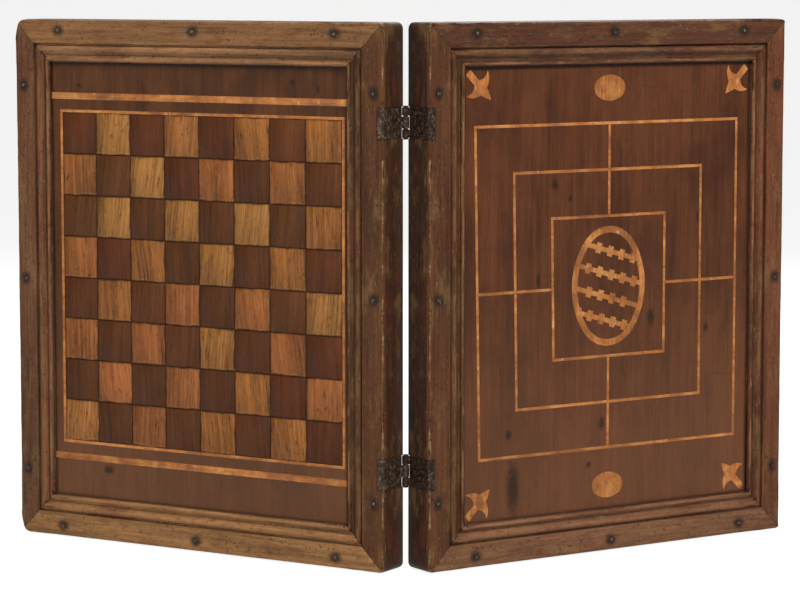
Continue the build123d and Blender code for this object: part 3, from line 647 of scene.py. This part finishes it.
def round_corners(piece, name, ends):
    """Rounds the tray's outer corners more than the CAD does, with flats every 15 degrees."""
    run = tray_direction(name)
    front = max(run.dot(corner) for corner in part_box(f"{name}_front_wall"))
    radius = CORNER_WEAR / 1000
    bpy.ops.object.mode_set(mode="EDIT")
    for end in ends:
        up = Vector((0, 0, 1 if end == "top" else -1))
        middle = HEIGHT / 2000 * Vector((0, 0, 1)) + run * (front - radius)
        middle += up * (HEIGHT / 2 - CORNER_WEAR) / 1000
        for turn in range(15, 90, 15):
            way = run * cos(radians(turn)) + up * sin(radians(turn))
            bpy.ops.mesh.select_all(action="SELECT")
            bpy.ops.mesh.bisect(
                plane_co=middle + way * radius, plane_no=way, clear_outer=True, use_fill=True
            )
    bpy.ops.object.mode_set(mode="OBJECT")


for name in SIDES:
    for edge in EDGES:
        run = tray_direction(name) if edge in ("bottom", "top") else Vector((0, 0, 1))
        for kind, (step, long_wear, short_wear) in WEAR.items():
            piece = take_up(f"{name}_{edge}_{kind}")
            if kind == "band":
                round_corners(piece, name, CORNERS_OF[edge])
                soften(piece, BAND_ARRIS)
            slice_along(piece, run, step)
            free = free_surface(piece, name, edge)
            dent(piece, LONG_HOLLOW, long_wear, free)
            dent(piece, SHORT_HOLLOW, short_wear, free)
            smooth()

        piece = take_up(f"{name}_{edge}_wall")
        round_corners(piece, name, CORNERS_OF[edge])
        soften(piece, WALL_ARRIS)
        smooth()

for node, slot in (("light_squares", "fruitwood"), ("dark_squares", "dark_walnut")):
    piece = take_up(node)
    soften(piece, SQUARE_ARRIS, segments=1)
    smooth()

for name in SIDES:
    for kind in ("lower_leaf", "upper_leaf"):
        piece = take_up(f"{name}_{kind}")
        press(piece, "REMESH", mode="VOXEL", voxel_size=LEAF_VOXEL / 1000)
        dent(piece, size=6, depth=0.3)
        dent(piece, size=2, depth=0.12)
        smooth(angle=80)
    for kind in ("band_nails", "leaf_nails"):
        piece = take_up(f"{name}_{kind}")
        press(piece, "REMESH", mode="VOXEL", voxel_size=NAIL_VOXEL / 1000)
        dent(piece, size=3, depth=0.4)
        smooth(angle=80)


# Finishes


seed = 3.0
for name in SIDES:
    for edge in EDGES:
        seed += 61.0
        wood = frame_wood(name, edge, seed)
        for kind in ("wall", "band", "moulding"):
            coat(f"{name}_{edge}_{kind}", wood)

coat("chess_panel", panel_wood("chess", "4f2e16", seed=17.0, marks=PANEL_MARKS["chess"]))
coat("morris_panel", panel_wood("morris", "542e18", seed=143.0, marks=PANEL_MARKS["morris"]))
light_tones = ("875427", "874f29", "976a36", "371f10")
dark_tones = ("4f2c12", "522912", "5c3617", "22130b")
coat("light_squares", square_wood("light_square_wood", True, light_tones, seed=5.0))
coat("dark_squares", square_wood("dark_square_wood", False, dark_tones, seed=77.0))
for name in SIDES:
    light = inlay_wood(f"{name}_light_points_wood", name, upright=True, seed=31.0)
    coat(f"{name}_light_points", light)
    coat(f"{name}_dark_points", panel_wood(name, "45281b", seed=55.0))
coat("chess_border", inlay_wood("chess_border_wood", "chess", upright=False, seed=12.0))
coat("chess_fillets", inlay_wood("chess_fillet_wood", "chess", upright=False, seed=90.0))
stringing = inlay_wood("morris_stringing_wood", "morris", upright=False, seed=44.0)
for part in ("outer_square", "middle_square", "inner_square", "cross_strings"):
    coat(f"morris_{part}", stringing)
motifs = inlay_wood("morris_motif_wood", "morris", upright=True, seed=71.0)
for node in ("oval_ring", "oval_bars", "corner_flowers", "small_ovals"):
    coat(node, motifs)

forged = {
    "chess": iron("chess_forged_iron", ("2a201a", "44362c", "85735f")),
    "morris": iron("morris_forged_iron", ("1f1712", "35281f", "6e5c4c")),
}
nail_iron = iron("nail_iron", ("2a2521", "4f4841", "8a8078"))
for name in SIDES:
    coat(f"{name}_band_nails", nail_iron)
    for kind in ("lower_leaf", "upper_leaf", "leaf_nails"):
        coat(f"{name}_{kind}", forged[name])
for end in ("lower", "upper"):
    for kind in ("hinge_pin", "hook"):
        coat(f"{end}_{kind}", forged["morris"])
for node in ("hook_pivots", "catch_studs"):
    coat(node, forged["morris"])


# Room, lamps and camera


def blend(tree, other_ray, share, lighting, seen, output):
    """Shows seen, by share, to the camera and one other kind of ray, and lighting to the rest."""
    rays = tree.nodes.new("ShaderNodeLightPath")
    either = tree.nodes.new("ShaderNodeMath")
    either.operation = "MAXIMUM"
    tree.links.new(rays.outputs["Is Camera Ray"], either.inputs[0])
    tree.links.new(rays.outputs[other_ray], either.inputs[1])
    part = tree.nodes.new("ShaderNodeMath")
    part.operation = "MULTIPLY"
    tree.links.new(either.outputs[0], part.inputs[0])
    part.inputs[1].default_value = share
    mixer = tree.nodes.new("ShaderNodeMixShader")
    tree.links.new(part.outputs[0], mixer.inputs[0])
    tree.links.new(lighting.outputs[0], mixer.inputs[1])
    tree.links.new(seen.outputs[0], mixer.inputs[2])
    tree.links.new(mixer.outputs[0], output.inputs["Surface"])


def studio_floor():
    """White that the camera and reflections see, over a plain white that takes the shadow."""
    material = bpy.data.materials.new("floor_white")
    material.use_nodes = True
    tree = material.node_tree
    tree.nodes.clear()
    diffuse = tree.nodes.new("ShaderNodeBsdfDiffuse")
    diffuse.inputs["Color"].default_value = (0.9, 0.9, 0.9, 1)
    glow = tree.nodes.new("ShaderNodeEmission")
    glow.inputs["Strength"].default_value = FLOOR_GLOW
    output = tree.nodes.new("ShaderNodeOutputMaterial")
    blend(tree, "Is Glossy Ray", FLOOR_GLOW_SHARE, diffuse, glow, output)
    return material


def studio_world():
    """Faint fill on the part, and plain white behind it."""
    world = bpy.data.worlds.new("studio")
    world.use_nodes = True
    tree = world.node_tree
    tree.nodes.clear()
    fill = tree.nodes.new("ShaderNodeBackground")
    fill.inputs["Color"].default_value = (1.0, 0.99, 0.97, 1)
    fill.inputs["Strength"].default_value = FILL_LIGHT
    white = tree.nodes.new("ShaderNodeBackground")
    white.inputs["Color"].default_value = (0.97, 0.97, 0.97, 1)
    output = tree.nodes.new("ShaderNodeOutputWorld")
    blend(tree, "Is Transmission Ray", 1.0, fill, white, output)
    return world


def lamp(name, place, aim, size, power, colour=(1, 1, 1)):
    """Square soft lamp at place, turned to aim."""
    data = bpy.data.lights.new(name, "AREA")
    data.size, data.energy, data.color = size, power, colour
    lit = bpy.data.objects.new(name, data)
    bpy.context.scene.collection.objects.link(lit)
    lit.location = place
    lit.rotation_euler = (Vector(aim) - Vector(place)).to_track_quat("-Z", "Y").to_euler()


bpy.ops.object.select_all(action="DESELECT")
bpy.ops.mesh.primitive_plane_add(size=400, location=(0, 0, -0.0005))
floor = bpy.context.object
floor.name = "floor"
floor.data.materials.append(studio_floor())
bpy.context.scene.world = studio_world()

warm_white = (1.0, 0.98, 0.95)
lamp("key", (0.6, -1.75, 2.35), aim=(0, 0, 0.24), size=0.7, power=74, colour=warm_white)
lamp("left_fill", (-1.9, -2.0, 0.9), aim=(0, 0, 0.24), size=1.4, power=18)
lamp("behind", (0.3, 1.9, 1.7), aim=(0, 0, 0.2), size=1.2, power=42)

camera = bpy.data.objects.new("camera", bpy.data.cameras.new("camera"))
bpy.context.scene.collection.objects.link(camera)
camera.location = (-0.0588, -2.7329, 0.5212)
camera.rotation_euler = (radians(83.96), 0, radians(-1.169))
camera.data.lens = 136.7
camera.data.sensor_width = 36
bpy.context.scene.camera = camera
bpy.context.scene.view_settings.view_transform = "Standard"
